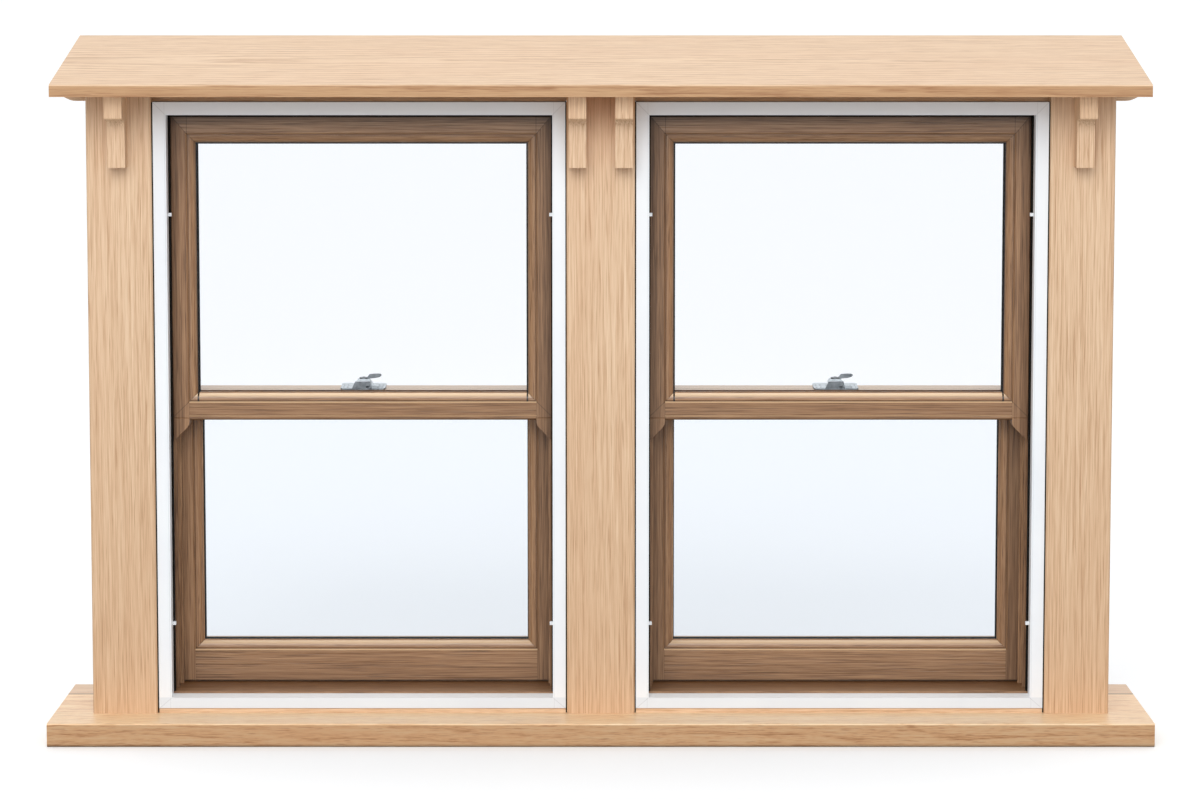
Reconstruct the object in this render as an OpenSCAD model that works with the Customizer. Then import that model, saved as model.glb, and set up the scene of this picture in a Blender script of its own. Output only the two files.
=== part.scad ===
// Pair of double-hung sash windows in a timber surround with a sloping cap board.
// Millimetres. X runs to the right, Y into the building, Z up.
// The origin lies under the middle of the base, level with its underside.

/* [Surround] */
// Clear width of each bay, between two posts
bay_w = 637; // [520:1:900]
// Width of the two side posts
side_post_w = 100; // [70:1:140]
// Width of the centre post
centre_post_w = 105; // [90:1:150]
// Depth of the posts
post_d = 170; // [150:1:220]
// Height of the post shoulders, which carry the head beam
shoulder_z = 986; // [800:1:1400]
// Thickness of the post tongues in front of the head beam
tongue_t = 30; // [20:1:50]
// Height of the head beam at its front face
beam_front_h = 37.6; // [30:0.1:60]
// How far the head beam runs past the side posts
beam_end = 39; // [10:1:60]
// Length of the rounded underside at each beam end
beam_round = 22; // [5:1:30]
// Height of that rounding
beam_rise = 8; // [3:0.5:12]
// Bevel on the long edges of the posts and boards
edge_bevel = 2; // [0.5:0.1:5]

/* [Base] */
// Thickness of the base boards
base_t = 36; // [25:1:60]
// Overhang of the base in front of the posts
base_front = 88; // [40:1:140]
// Overhang of the base past the side posts
base_side = 61; // [0:1:120]
// Depth of the separate inner board behind the posts
inner_board_d = 90; // [60:1:150]
// Bevel that marks the joint between the two base boards
joint_bevel = 1.2; // [0.3:0.1:2]

/* [Cap] */
// Upright thickness of the cap board
cap_t = 18.3; // [12:0.1:40]
// Overhang of the cap in front of the posts
cap_front = 120; // [60:1:180]
// Overhang of the cap past the side posts
cap_side = 39.5; // [20:0.5:120]
// Slope of the cap board, falling to the front
cap_slope = 10.13; // [5:0.01:20]
// Glue line under the cap board
glue_t = 0.02; // [0.01:0.01:0.2]

/* [Brackets] */
// Width of each bracket
bracket_w = 27; // [15:1:50]
// Projection of a bracket under the cap
bracket_top_d = 70; // [50:1:100]
// Projection of its lower part
bracket_low_d = 34; // [20:1:40]
// Height of a bracket's foot below the post shoulder
bracket_drop = 100; // [70:1:200]
// Distance from the foot up to the start of the cove
bracket_foot_h = 62.5; // [30:0.5:140]
// Radius of the cove
cove_r = 12.5; // [3:0.5:16]
// Radius of the round under a bracket's nose
nose_r = 3; // [1:0.5:12]
// Distance from a bay's edge to a centre bracket
bracket_inset = 3.5; // [0:0.5:10]
// Distance from a bay's edge to a side post's bracket
bracket_side_inset = 36.5; // [10:0.5:50]

/* [Window frame] */
// Fitting gap between a window frame and the posts
fit_gap = 2; // [1:0.5:6]
// Gap between a window frame and the head beam
head_gap = 1; // [0.5:0.5:6]
// Face width of the frame members, outer trim and jambs alike
frame_face = 20; // [15:0.5:40]
// Thickness of the frame head
head_t = 20; // [15:0.5:40]
// Thickness of the frame sill
sill_t = 21.7; // [15:0.1:40]
// Thickness of the bedding strip under the frame
bedding_t = 6.5; // [3:0.5:12]
// Depth of the white outer trim
trim_d = 28; // [15:1:50]
// Distance from the post face back to the trim face
trim_setback = 6; // [0:1:20]
// Height of the trim's lower member at its front
trim_low_h = 17.1; // [10:0.1:30]
// Rise of its sloping top from front to back
trim_low_rise = 2.1; // [0:0.1:5]
// Drip gap between the trim and the bedding strip
drip_gap = 0.8; // [0.3:0.1:2]
// Width of the step round the trim's inner edge
trim_step_w = 2; // [1:0.5:5]
// Depth of that step
trim_step_d = 0.8; // [0.4:0.1:4]
// Gap between the trim and the jambs behind it
trim_back_gap = 2; // [1:0.5:4]
// Length of the black weather strip, front to back
strip_d = 14; // [6:1:25]
// Thickness of the weather strip on the jambs
strip_t = 2.3; // [1:0.1:3]
// Thickness of the weather strip on the head
strip_head_t = 3.6; // [1:0.1:4]
// Setback of the black sealing tape between the trim and the posts
tape_setback = 1.5; // [0.5:0.5:6]
// Height of a trim clip
clip_h = 5; // [3:0.5:10]
// Projection of a trim clip into the opening
clip_out = 5; // [2:0.5:6]
// Distance from the frame head down to the upper clips
clip_drop = 154; // [60:1:300]
// Distance from the frame sill up to the lower clips
clip_rise = 109; // [60:1:300]
// Width and projection of the guide ribs on the jambs
rib_w = 5; // [3:0.5:8]
// Distance from a sash's face back to its guide rib
rib_inset = 9; // [6:0.5:10]
// Clearance round a rib in its groove
rib_clear = 0.7; // [0.4:0.1:1.5]
// Projection of the parting and staff beads
bead_out = 8; // [5:0.5:12]
// Depth of the staff beads behind the lower sash
staff_d = 13.4; // [8:0.1:25]

/* [Sashes] */
// Thickness of both sashes
sash_t = 46; // [40:1:60]
// Distance from the post face back to the upper sash
sash_setback = 66; // [55:1:90]
// Gap between the two sashes
plane_gap = 10; // [8:0.5:16]
// Height of the lower sash
lower_h = 467.5; // [390:0.5:700]
// Overlap of the two meeting rails
rail_overlap = 43.8; // [38:0.1:60]
// Clearance between a sash and each jamb
side_clear = 1.5; // [0.8:0.1:3]
// Clearance above the upper sash
top_clear = 2.5; // [1:0.1:6]
// Clearance under the lower sash
sill_clear = 0.3; // [0.2:0.1:2]
// Clearance between the sashes and the beads that part them
bead_clear = 0.5; // [0.3:0.1:0.9]
// Flat face of a stile
stile_flat = 24.3; // [20:0.1:45]
// Flat face of the upper sash's top rail
top_flat = 29; // [20:0.5:60]
// Flat face of the upper sash's meeting rail
meeting_flat = 28.7; // [20:0.1:34]
// Flat part of the lower sash's meeting rail
lower_top_flat = 28; // [20:0.5:34]
// Flat face of the lower sash's bottom rail
bottom_flat = 52.5; // [35:0.1:90]
// Reach of each meeting rail into the gap between the sashes
rail_reach = 4; // [1:0.5:4.5]
// Length of the horns below the upper sash
horn_h = 31; // [24:1:50]
// Height of a horn's square part under the rail
horn_lead = 2; // [0:0.5:10]
// Radius of the round above a horn's slope
horn_r = 16; // [4:1:20]
// Bevel along the flats' inner edges, beside the glazing beads
edge_break = 2; // [0.5:0.1:3]
// Bevel along the underside of the upper sash's meeting rail
meeting_bevel = 2.5; // [0.5:0.1:4]
// Height of the scored line above that underside
quirk_h = 6.7; // [4:0.1:12]
// Height of the joint line between a stile and its horn
horn_joint_h = 3; // [0.5:0.5:10]
// Width of the scored lines
score_w = 1.6; // [0.4:0.1:3]
// Height of the rebate under the front of the lower sash
drip_h = 3.4; // [1:0.1:6]
// Depth of that rebate
drip_d = 10; // [4:1:20]
// Length of the rail tenons
tenon_l = 16; // [8:1:18]
// Height of the rail tenons
tenon_h = 16; // [8:1:18]
// Thickness of the rail tenons
tenon_t = 14; // [8:1:16]
// Clearance round a tenon in its mortise
tenon_clear = 0.1; // [0.05:0.05:0.3]
// Length of a sash that its travel keeps in reserve
travel_reserve = 107.5; // [90:0.5:160]

/* [Glazing] */
// Face width of the glazing beads
bead_w = 14.1; // [10:0.1:20]
// Depth of the glazing beads
bead_d = 12; // [10:0.5:14]
// Thickness of each glass pane
pane_t = 4; // [3:0.5:6]
// Cavity between the two panes
cavity = 12; // [8:1:14]
// Depth of the glass edge behind the beads
edge_cover = 12; // [8:0.5:13]
// Width of the spacer bar that shows inside the beads
spacer_show = 1.4; // [0:0.1:4]
// Depth of the upper spacer's bottom bar below the sight line
spacer_drop = 2; // [0:0.5:4]
// Width of the lower spacer's bottom bar that shows
spacer_low_show = 1; // [0:0.5:4]
// Setback of the spacer bar from the glass edge
spacer_setback = 3; // [1:0.5:5]

/* [Balances] */
// Outer diameter of the balance tubes
tube_d = 12; // [10:0.5:13]
// Bore of the balance tubes
tube_bore = 9; // [8:0.5:10]
// Diameter of the balance rods
rod_d = 5; // [3:0.5:6]
// Width and depth of the balance grooves in the jambs
groove_w = 15; // [14:0.5:16]
// Distance from a sash's face back to its balance
balance_inset = 31; // [25:0.5:33]
// Height of the shoes that join the rods to the stiles
shoe_h = 16; // [10:1:30]
// Clearance of a shoe in its groove
shoe_clear = 0.8; // [0.4:0.1:1.5]

/* [Lock] */
// Length of the lock and keeper plates
lock_w = 70; // [60:1:100]
// Thickness of both plates at their front edges
lock_plate_t = 2; // [1.5:0.1:3]
// Rise of the lock plate from front to back
lock_rise = 4; // [0:0.5:4]
// Rise of the keeper plate from front to back
keeper_rise = 2.5; // [0:0.5:4]
// Depth of the lock plate
lock_d = 28; // [24:1:30]
// Depth of the keeper plate
keeper_d = 16; // [14:0.5:17]
// Height of the cam above the sash rail
cam_lift = 6.6; // [6.5:0.1:8]
// Height of the lock housing above the cam
housing_h = 4.2; // [3:0.1:8]
// Radius of the lock's spindle
spindle_r = 3; // [2:0.1:4]
// Running clearance round the spindle
spindle_clear = 0.05; // [0.02:0.01:0.1]
// Reach of the cam from the spindle
cam_reach = 26.5; // [25:0.5:28]
// Sideways place of the lock from the window's middle
lock_x = -2; // [-60:1:60]
// Radius of the screw holes in the lock and its keeper
screw_r = 1.6; // [1:0.1:2]

/* [Fixing holes] */
// Radius of the blind pilot holes in the outer faces of the side posts
tie_r = 3; // [2:0.5:6]
// Depth of those holes
tie_depth = 40; // [20:1:60]
// Spacing of the holes, front to back
tie_span_y = 100; // [60:1:120]
// Spacing of the holes, up and down
tie_span_z = 700; // [300:1:720]
// Height of the middle of the hole pattern
tie_mid_z = 500; // [400:1:560]

/* [Hidden] */
$fn = 48;
EPS = 1;
FAR = 3000;

OAK = [0.89, 0.76, 0.62];
WHITE = [0.96, 0.97, 0.98];
BROWN = [0.52, 0.41, 0.31];
BLACK = [0.05, 0.05, 0.05];
GLASS = [0.93, 0.95, 0.97, 0.35];
STEEL = [0.72, 0.76, 0.78];

// Surround: depths
total_d = cap_front + post_d + inner_board_d;
cap_y = -total_d / 2;
post_y = cap_y + cap_front;
post_back = post_y + post_d;
board_back = post_back + inner_board_d;
beam_y = post_y + tongue_t;

// Surround: widths, as distances from the middle
post_in_x = centre_post_w / 2 + bay_w;
post_out_x = post_in_x + side_post_w;
bay_x = (centre_post_w + bay_w) / 2;
base_w = 2 * (post_out_x + base_side);
cap_w = 2 * (post_out_x + cap_side);
beam_w = 2 * (post_out_x + beam_end);
window_names = ["left", "right"];
window_x = [-bay_x, bay_x];

// Barely broken lower edges of the two base boards where they meet
butt_bevel = 0.1;

// Underside of the cap board at depth y, and the tops of the members that carry it
function cap_under(y) = shoulder_z + beam_front_h + tan(cap_slope) * (y - beam_y);
function below_glue(y) = cap_under(y) - glue_t;

// Radius of the rounding under the beam ends
beam_r = (beam_round * beam_round + beam_rise * beam_rise) / (2 * beam_rise);

bracket_x = [-post_in_x - bracket_side_inset - bracket_w / 2,
             -centre_post_w / 2 + bracket_inset + bracket_w / 2,
             centre_post_w / 2 - bracket_inset - bracket_w / 2,
             post_in_x + bracket_side_inset + bracket_w / 2];

// Window frame, in the coordinates of one bay
frame_x = bay_w / 2 - fit_gap;
jamb_x = frame_x - frame_face;
frame_z0 = base_t + bedding_t;
sill_z = frame_z0 + sill_t;
frame_z1 = shoulder_z - head_gap;
soffit_z = frame_z1 - head_t;
trim_y = post_y + trim_setback;
trim_back = trim_y + trim_d;
frame_y = trim_back + trim_back_gap;
bedding_setback = 2;
clip_grip = 6;
clip_clear = 0.3;

// Sashes
upper_y = post_y + sash_setback;
lower_y = upper_y + sash_t + plane_gap;
sash_x = jamb_x - side_clear;
flat_x = sash_x - stile_flat;
sight_x = flat_x - bead_w;
lower_z0 = sill_z + sill_clear;
meeting_z = lower_z0 + lower_h;
upper_z0 = meeting_z - rail_overlap;
upper_z1 = soffit_z - top_clear;
upper_h = upper_z1 - upper_z0;
travel = min(upper_h, lower_h) - travel_reserve;
staff_y = lower_y + sash_t + bead_clear;
frame_back = staff_y + staff_d;
bead_joint = 0.2;

// Depth of the guide grooves in the sash edges, as a distance from the middle
rib_cut_x = jamb_x - rib_w - side_clear - rib_clear;

// Rings that the glazing beads follow: lower edge, upper edge
upper_ring = [upper_z0 + meeting_flat, upper_z1 - top_flat];
lower_ring = [lower_z0 + bottom_flat, meeting_z - lower_top_flat];
leg_d = bead_d + 2 * pane_t + cavity;
leg_bevel = 4;
mitre_gap = 0.15;

// Balances
balance_x = jamb_x + groove_w / 2;
upper_balance_y = upper_y + balance_inset;
lower_balance_y = lower_y + balance_inset;
rod_top_gap = 13;
rod_reserve = 10;
rod_grip = 30;
rod_grip_low = 80;
upper_rod_top = soffit_z - rod_top_gap;
lower_rod_top = upper_rod_top - rod_reserve - travel;
upper_tube_z = upper_rod_top - travel - rod_grip;
lower_tube_z = lower_rod_top - rod_grip_low;
tube_cap_t = 3;
shoe_rise = 8;

// Lock: plan places, then heights
plate_setback = 0.5;
lock_y = lower_y - rail_reach + plate_setback;
pivot_y = lock_y + lock_d / 2;
keeper_back = upper_y + sash_t + rail_reach - plate_setback;
keeper_y = keeper_back - keeper_d;
lock_wall_x = 9;
screw_inset = [11, 4.5];
plate_clip = 3;
housing_inset = 2;
cam_z = meeting_z + cam_lift;
cam_t = 3.2;
cam_r = 6.5;
cam_gap = 0.4;
housing_z = cam_z + cam_t + housing_h;
lever_gap = 0.2;
lever_z = housing_z + lever_gap;
hood_gap = 0.9;
hood_t = 2;

// ---- Helpers ----

module block(low, high) translate(low) cube(high - low);

// A profile drawn as (Y, Z), run along X about the middle
module along_x(length)
    rotate([90, 0, 90]) translate([0, 0, -length / 2]) linear_extrude(length) children();

// A profile drawn as (X, Z), run along Y from y0 to y1
module along_y(y0, y1)
    translate([0, y1, 0]) rotate([90, 0, 0]) linear_extrude(y1 - y0) children();

// A rectangle from the origin with bevelled corners: near-left, near-right, far-right, far-left
module bevelled(w, h, bevels) {
    b = bevels;
    polygon([[b[0], 0], [w - b[1], 0], [w, b[1]], [w, h - b[2]],
             [w - b[2], h], [b[3], h], [0, h - b[3]], [0, b[0]]]);
}

module each_bay() for (x = window_x) translate([x, 0, 0]) children();

module both_sides() for (side = [0, 1]) mirror([side, 0, 0]) children();

// A square-edged V that breaks an edge running along Z at (x, y)
module broken_edge(x, y, z0, z1, size)
    translate([x, y, z0]) rotate(45)
        translate([-size / sqrt(2), -size / sqrt(2), 0])
            cube([size * sqrt(2), size * sqrt(2), z1 - z0]);

// The same V along X at height z in the face Y = 0
module broken_rail_edge(z, size)
    translate([0, 0, z]) rotate([45, 0, 0])
        cube([2 * sash_x + 2 * EPS, size * sqrt(2), size * sqrt(2)], center = true);

// A bar of the given section (u inwards from the ring's edge, v into the sash) that stands
// along Z and is mitred at both ends; gap is left open at each mitre
module mitred_bar(length, width, gap) {
    intersection() {
        linear_extrude(length) children();
        along_y(-FAR, FAR)
            polygon([[-EPS, gap - EPS], [width, width + gap], [width, length - width - gap],
                     [-EPS, length - gap + EPS]]);
    }
}

// The same bar laid along X as the lower or upper side of a ring
module mitred_rail(half_w, z, up, width, gap)
    translate([0, 0, z]) mirror([0, 0, up ? 0 : 1]) mirror([1, 0, -1])
        translate([0, 0, -half_w]) mitred_bar(2 * half_w, width, gap) children();

// ---- Surround ----

module base_board() {
    color(OAK) along_x(base_w) translate([post_y - base_front, 0])
        bevelled(post_back - post_y + base_front, base_t,
                 [edge_bevel, butt_bevel, joint_bevel, edge_bevel]);
}

module inner_board() {
    color(OAK) along_x(base_w) translate([post_back, 0])
        bevelled(inner_board_d, base_t, [butt_bevel, edge_bevel, edge_bevel, joint_bevel]);
}

// All that lies above the glue line under the cap board
module cap_space()
    along_x(FAR) polygon([[-FAR, below_glue(-FAR)], [FAR, below_glue(FAR)], [FAR, FAR], [-FAR, FAR]]);

module post(x, w) {
    difference() {
        translate([x, post_y, base_t]) linear_extrude(cap_under(board_back) - base_t)
            bevelled(w, post_d, [edge_bevel, edge_bevel, edge_bevel, edge_bevel]);
        cap_space();
        block([x - EPS, beam_y, shoulder_z], [x + w + EPS, post_back + EPS, FAR]);
    }
}

// Blind holes in the outer face of the right-hand post, for screws into a wall or stud
module tie_holes()
    for (dy = [-1, 1], dz = [-1, 1])
        translate([post_out_x - tie_depth, post_y + post_d / 2 + dy * tie_span_y / 2,
                   tie_mid_z + dz * tie_span_z / 2])
            rotate([0, 90, 0]) cylinder(h = tie_depth + EPS, r = tie_r);

module right_post() {
    color(OAK) difference() {
        post(post_in_x, side_post_w);
        tie_holes();
    }
}

module left_post() mirror([1, 0, 0]) right_post();

module centre_post() color(OAK) post(-centre_post_w / 2, centre_post_w);

module head_beam() {
    x0 = beam_w / 2 - beam_round;
    color(OAK) difference() {
        along_x(beam_w)
            polygon([[beam_y, shoulder_z], [post_back, shoulder_z],
                     [post_back, below_glue(post_back)], [beam_y, below_glue(beam_y)]]);
        both_sides() difference() {
            block([x0, beam_y - EPS, shoulder_z - EPS],
                  [beam_w / 2 + EPS, post_back + EPS, shoulder_z + beam_rise + EPS]);
            translate([x0, post_back + 2 * EPS, shoulder_z + beam_r]) rotate([90, 0, 0])
                cylinder(h = post_d, r = beam_r, $fn = 96);
        }
    }
}

module cap_board() {
    slip = tan(cap_slope) * edge_bevel;
    color(OAK) along_x(cap_w)
        polygon([[cap_y, cap_under(cap_y)], [board_back, cap_under(board_back)],
                 [board_back, cap_under(board_back) + cap_t - edge_bevel],
                 [board_back - edge_bevel, cap_under(board_back) + cap_t - slip],
                 [cap_y + edge_bevel, cap_under(cap_y) + cap_t + slip],
                 [cap_y, cap_under(cap_y) + cap_t - edge_bevel]]);
}

// Side view of a bracket: a slim foot, a cove and a rounded nose under the cap
module bracket_profile() {
    foot_z = shoulder_z - bracket_drop;
    cove_z = foot_z + bracket_foot_h;
    nose_out = bracket_top_d - nose_r;
    nose_z = cove_z + cove_r + nose_r;
    top_z = cap_under(post_y) + EPS;
    mirror([1, 0]) difference() {
        union() {
            translate([0, foot_z]) square([bracket_low_d, top_z - foot_z]);
            translate([0, cove_z]) square([bracket_top_d, top_z - cove_z]);
        }
        translate([bracket_low_d + cove_r, cove_z]) circle(cove_r, $fn = 64);
        translate([bracket_low_d + cove_r, cove_z - EPS])
            square([bracket_top_d - bracket_low_d - cove_r + EPS, cove_r + EPS]);
        difference() {
            translate([nose_out, nose_z - nose_r - EPS]) square([nose_r + EPS, nose_r + EPS]);
            translate([nose_out, nose_z]) circle(nose_r, $fn = 64);
        }
    }
}

module brackets() {
    color(OAK) difference() {
        for (x = bracket_x)
            translate([x, post_y, 0]) along_x(bracket_w) bracket_profile();
        cap_space();
    }
}

// ---- Window frames ----

module bedding_strips()
    color(OAK) each_bay()
        block([-frame_x, trim_y + bedding_setback, base_t], [frame_x, frame_back, frame_z0]);

function trim_low_z(y) = frame_z0 + trim_low_h + trim_low_rise * (y - trim_y) / trim_d;

// The hole through the trim between two depths, widened by step on all sides but the bottom
module trim_hole(y0, y1, step)
    along_x(2 * (jamb_x + step))
        polygon([[y0, trim_low_z(y0)], [y1, trim_low_z(y1)],
                 [y1, soffit_z + step], [y0, soffit_z + step]]);

module trim_frames() {
    color(WHITE) each_bay() difference() {
        block([-frame_x, trim_y, frame_z0 + drip_gap], [frame_x, trim_back, frame_z1]);
        trim_hole(trim_y - EPS, trim_back + EPS, 0);
        trim_hole(trim_y - EPS, trim_y + trim_step_d, trim_step_w);
    }
}

module trim_clips() {
    color(WHITE) each_bay() both_sides()
        for (z = [soffit_z - clip_drop, sill_z + clip_rise])
            block([jamb_x - clip_out, trim_back - clip_grip, z - clip_h / 2],
                  [jamb_x, frame_y - clip_clear, z + clip_h / 2]);
}

// Strips inside the opening, and the sealing tape between the trim and the posts
module weather_strips() {
    strip_top = soffit_z - strip_head_t;
    color(BLACK) each_bay() {
        both_sides() {
            block([jamb_x - strip_t, frame_y, sill_z], [jamb_x, frame_y + strip_d, strip_top]);
            block([frame_x, trim_y + tape_setback, base_t], [bay_w / 2, trim_back, frame_z1]);
        }
        block([-jamb_x, frame_y, strip_top], [jamb_x, frame_y + strip_d, soffit_z]);
    }
}

module frame_heads()
    color(BROWN) each_bay() block([-frame_x, frame_y, soffit_z], [frame_x, frame_back, frame_z1]);

module frame_sills()
    color(BROWN) each_bay() block([-frame_x, frame_y, frame_z0], [frame_x, frame_back, sill_z]);

// Section of the right jamb: grooves for the balances, ribs for the sashes
module jamb_section() {
    difference() {
        translate([jamb_x, frame_y]) square([frame_face, frame_back - frame_y]);
        for (y = [upper_balance_y, lower_balance_y])
            translate([jamb_x - EPS, y - groove_w / 2]) square([groove_w + EPS, groove_w]);
    }
    for (y = [upper_y, lower_y])
        translate([jamb_x - rib_w, y + rib_inset]) square([rib_w + EPS, rib_w]);
}

module right_jamb()
    color(BROWN) translate([0, 0, sill_z]) linear_extrude(soffit_z - sill_z) jamb_section();

// Parting beads between the sashes and staff beads behind the lower one, cut with small gaps
module frame_beads() {
    in_x = jamb_x - bead_out;
    end_x = in_x - bead_joint;
    part_y = upper_y + sash_t + bead_clear;
    part_back = lower_y - bead_clear;
    color(BROWN) each_bay() {
        both_sides() {
            block([in_x, part_y, sill_z], [jamb_x, part_back, soffit_z]);
            block([in_x, staff_y, sill_z], [jamb_x, frame_back, soffit_z]);
        }
        block([-end_x, part_y, soffit_z - bead_out], [end_x, part_back, soffit_z]);
        block([-end_x, staff_y, soffit_z - bead_out], [end_x, frame_back, soffit_z]);
        block([-end_x, staff_y, sill_z], [end_x, frame_back, sill_z + 2 * bead_out]);
    }
}

// ---- Spiral balances ----

module tube(y, z)
    translate([balance_x, y, z]) difference() {
        cylinder(h = soffit_z - z, d = tube_d);
        translate([0, 0, -EPS]) cylinder(h = soffit_z - z - tube_cap_t + EPS, d = tube_bore);
    }

module balance_tubes() {
    color(STEEL) each_bay() both_sides() {
        tube(upper_balance_y, upper_tube_z);
        tube(lower_balance_y, lower_tube_z);
    }
}

// A rod with the shoe that carries the sash, for each side of a sash
module rods(y, sash_z, top) {
    shoe_z = sash_z + shoe_rise;
    shoe_half = groove_w / 2 - shoe_clear;
    color(STEEL) both_sides() {
        block([sash_x, y - shoe_half, shoe_z],
              [jamb_x + groove_w - shoe_clear, y + shoe_half, shoe_z + shoe_h]);
        translate([balance_x, y, shoe_z + shoe_h - EPS])
            cylinder(h = top - shoe_z - shoe_h + EPS, d = rod_d);
    }
}

module upper_rods() rods(upper_balance_y, upper_z0, upper_rod_top);

module lower_rods() rods(lower_balance_y, lower_z0, lower_rod_top);

// ---- Sash members; each is drawn with the sash's outer face at Y = 0 ----

// Inner leg that the glass is bedded against, bevelled on the room side
module leg_section(bevel)
    polygon([[-EPS, leg_d], [bead_w, leg_d], [bead_w, sash_t - bevel],
             [bead_w - bevel, sash_t], [-EPS, sash_t]]);

// Glazing bead: a groove, a quarter round and a small square fillet beside the glass
module bead_section() {
    groove_w = 2;
    groove_d = 2.5;
    fillet = 1.5;
    fillet_d = 2.2;
    lip = 0.8;
    join = 0.1;
    r = bead_d - lip - fillet_d;
    round_x = bead_w - fillet - r;
    translate([0, groove_d]) square([groove_w + join, bead_d - groove_d]);
    translate([groove_w, lip]) square([round_x - groove_w, bead_d - lip]);
    translate([round_x - join, lip + r]) square([bead_w - round_x + join, bead_d - lip - r]);
    intersection() {
        translate([round_x, lip + r]) circle(r, $fn = 64);
        translate([round_x - join, 0]) square([r + join, lip + r + join]);
    }
}

module beads(ring) {
    color(BROWN) {
        both_sides() translate([-flat_x, 0, ring[0]])
            mitred_bar(ring[1] - ring[0], bead_w, mitre_gap) bead_section();
        mitred_rail(flat_x, ring[0], true, bead_w, mitre_gap) bead_section();
        mitred_rail(flat_x, ring[1], false, bead_w, mitre_gap) bead_section();
    }
}

// A rail's tenon in the left stile at height z, grown on all sides for its mortise
module tenon(z, grow)
    block([-flat_x - tenon_l - grow, bead_d + pane_t - grow, z - tenon_h / 2 - grow],
          [-flat_x + EPS, bead_d + pane_t + tenon_t + grow, z + tenon_h / 2 + grow]);

// What every stile loses: the guide groove, its mortises and the broken inner edge
module stile_cuts(z0, z1, ring, mortises) {
    guide_groove(z0, z1);
    for (z = mortises) tenon(z, tenon_clear);
    broken_edge(-flat_x, 0, ring[0] - edge_break, ring[1] + edge_break, edge_break);
}

module guide_groove(z0, z1)
    block([-sash_x - EPS, rib_inset - rib_clear, z0 - EPS],
          [-rib_cut_x, rib_inset + rib_w + rib_clear, z1 + EPS]);

module stile_leg(ring)
    translate([-flat_x, 0, ring[0]])
        mitred_bar(ring[1] - ring[0], bead_w, 0) leg_section(leg_bevel);

// Outline of the upper left stile: mitred head, and a horn below the meeting rail
module upper_stile_outline() {
    slope_u = stile_flat - horn_r * (1 - cos(45));
    slope_h = horn_lead + horn_r * sin(45);
    tip_u = max(1, slope_u - (horn_h - slope_h));
    translate([-sash_x, 0]) {
        polygon([[0, upper_z0 - horn_h], [tip_u, upper_z0 - horn_h],
                 [slope_u, upper_z0 - slope_h], [slope_u, upper_z0 - horn_lead],
                 [stile_flat, upper_z0 - horn_lead], [stile_flat, upper_ring[1]], [0, upper_z1]]);
        intersection() {
            translate([stile_flat - horn_r, upper_z0 - horn_lead]) circle(horn_r, $fn = 96);
            translate([stile_flat - horn_r, upper_z0 - slope_h])
                square([horn_r, slope_h - horn_lead + EPS]);
        }
    }
}

module upper_stile() {
    color(BROWN) difference() {
        union() {
            along_y(0, sash_t) upper_stile_outline();
            stile_leg(upper_ring);
        }
        stile_cuts(upper_z0 - horn_h, upper_z1, upper_ring, [upper_z0 + meeting_flat / 2]);
        broken_rail_edge(upper_z0 + horn_joint_h, score_w / 2);
    }
}

module lower_stile() {
    color(BROWN) difference() {
        union() {
            block([-sash_x, 0, lower_z0], [-flat_x, sash_t, meeting_z]);
            stile_leg(lower_ring);
        }
        stile_cuts(lower_z0, meeting_z, lower_ring,
                   [lower_z0 + bottom_flat / 2, meeting_z - lower_top_flat / 2]);
        drip_rebate();
    }
}

module drip_rebate()
    block([-sash_x - EPS, -EPS, lower_z0 - EPS], [sash_x + EPS, drip_d, lower_z0 + drip_h]);

module upper_top_rail() {
    color(BROWN) difference() {
        union() {
            along_y(0, sash_t)
                polygon([[-sash_x, upper_z1], [sash_x, upper_z1],
                         [flat_x, upper_ring[1]], [-flat_x, upper_ring[1]]]);
            mitred_rail(flat_x, upper_ring[1], false, bead_w, 0) leg_section(leg_bevel);
        }
        broken_rail_edge(upper_ring[1], edge_break);
        both_sides() guide_groove(upper_ring[1], upper_z1);
    }
}

module upper_meeting_rail() {
    reach = sash_t + rail_reach;
    color(BROWN) difference() {
        union() {
            block([-flat_x, 0, upper_z0], [flat_x, sash_t, upper_ring[0]]);
            mitred_rail(flat_x, upper_ring[0], true, bead_w, 0) leg_section(0);
            block([-flat_x, sash_t, upper_z0], [flat_x, reach, meeting_z]);
            block([-sight_x, leg_d, upper_ring[0] + bead_w - EPS], [sight_x, reach, meeting_z]);
            both_sides() tenon(upper_z0 + meeting_flat / 2, 0);
        }
        broken_rail_edge(upper_ring[0], edge_break);
        broken_rail_edge(upper_z0, meeting_bevel);
        broken_rail_edge(upper_z0 + quirk_h, score_w / 2);
    }
}

module lower_meeting_rail() {
    color(BROWN) {
        block([-flat_x, -rail_reach, lower_ring[1]], [flat_x, sash_t, meeting_z]);
        mitred_rail(flat_x, lower_ring[1], false, bead_w, 0) leg_section(leg_bevel);
        both_sides() tenon(meeting_z - lower_top_flat / 2, 0);
    }
}

module lower_bottom_rail() {
    color(BROWN) difference() {
        union() {
            block([-flat_x, 0, lower_z0], [flat_x, sash_t, lower_ring[0]]);
            mitred_rail(flat_x, lower_ring[0], true, bead_w, 0) leg_section(leg_bevel);
            both_sides() tenon(lower_z0 + bottom_flat / 2, 0);
        }
        broken_rail_edge(lower_ring[0], edge_break);
        drip_rebate();
    }
}

// ---- Glazing ----

// A flat rectangle that reaches past the sight line by cover on every side
module sheet(ring, cover, y0, y1)
    block([-sight_x - cover, y0, ring[0] + bead_w - cover],
          [sight_x + cover, y1, ring[1] - bead_w + cover]);

module glass_unit(ring) {
    color(GLASS) {
        sheet(ring, edge_cover, bead_d, bead_d + pane_t);
        sheet(ring, edge_cover, bead_d + pane_t + cavity, leg_d);
    }
}

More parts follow.
